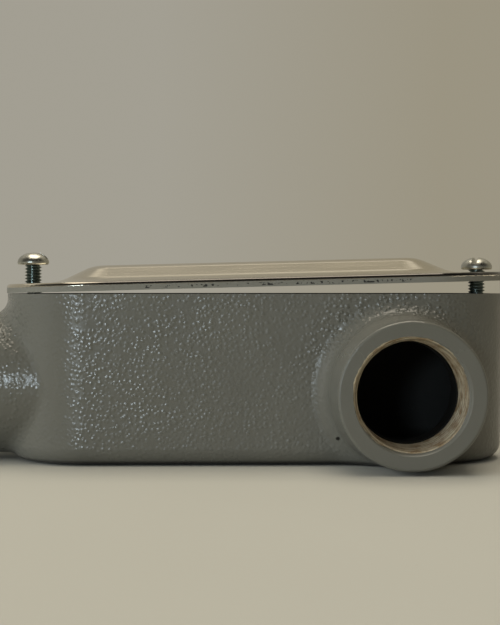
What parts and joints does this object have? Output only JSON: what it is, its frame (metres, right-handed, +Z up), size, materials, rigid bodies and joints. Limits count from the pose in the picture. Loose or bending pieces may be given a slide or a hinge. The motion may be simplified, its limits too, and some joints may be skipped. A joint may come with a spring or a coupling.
{
  "type": "conduit body",
  "caption": "Right-angle threaded conduit body: an obround cast box with an end hub and a side hub, under a raised-panel sheet cover held by backed-out screws.",
  "frame": {"origin": "middle of the flat underside, midway between the two cover screws", "axes": "+Z up out of the open side, under the cover; -X out of the end hub along the box; -Y out of the side hub"},
  "size_m": [0.1417, 0.0592, 0.0512],
  "materials": {
    "grey_enamel": "textured semi-gloss grey enamel on cast aluminium",
    "machined_bore": "bare machined aluminium inside the hubs, with the cutting thread and stains",
    "polished_sheet": "polished stamped aluminium",
    "zinc_plate": "bright zinc-plated steel"
  },
  "bodies": {
    "body": {"casting": "grey_enamel"},
    "cover": {"cover": "polished_sheet"},
    "hub_end_screw": {"hub_end_screw": "zinc_plate"},
    "closed_end_screw": {"closed_end_screw": "zinc_plate"}
  },
  "joints": [
    {"name": "cover_lift", "type": "slide", "parent": "body", "child": "cover", "axis": [0, 0, 1], "range_m": [0, 0.045]},
    {"name": "hub_end_screw_turn", "type": "hinge", "parent": "cover", "child": "hub_end_screw", "pos_m": [-0.0558, 0, 0.045], "axis": [0, 0, 1], "continuous": true},
    {"name": "closed_end_screw_turn", "type": "hinge", "parent": "cover", "child": "closed_end_screw", "pos_m": [0.0558, 0, 0.045], "axis": [0, 0, 1], "continuous": true}
  ]
}
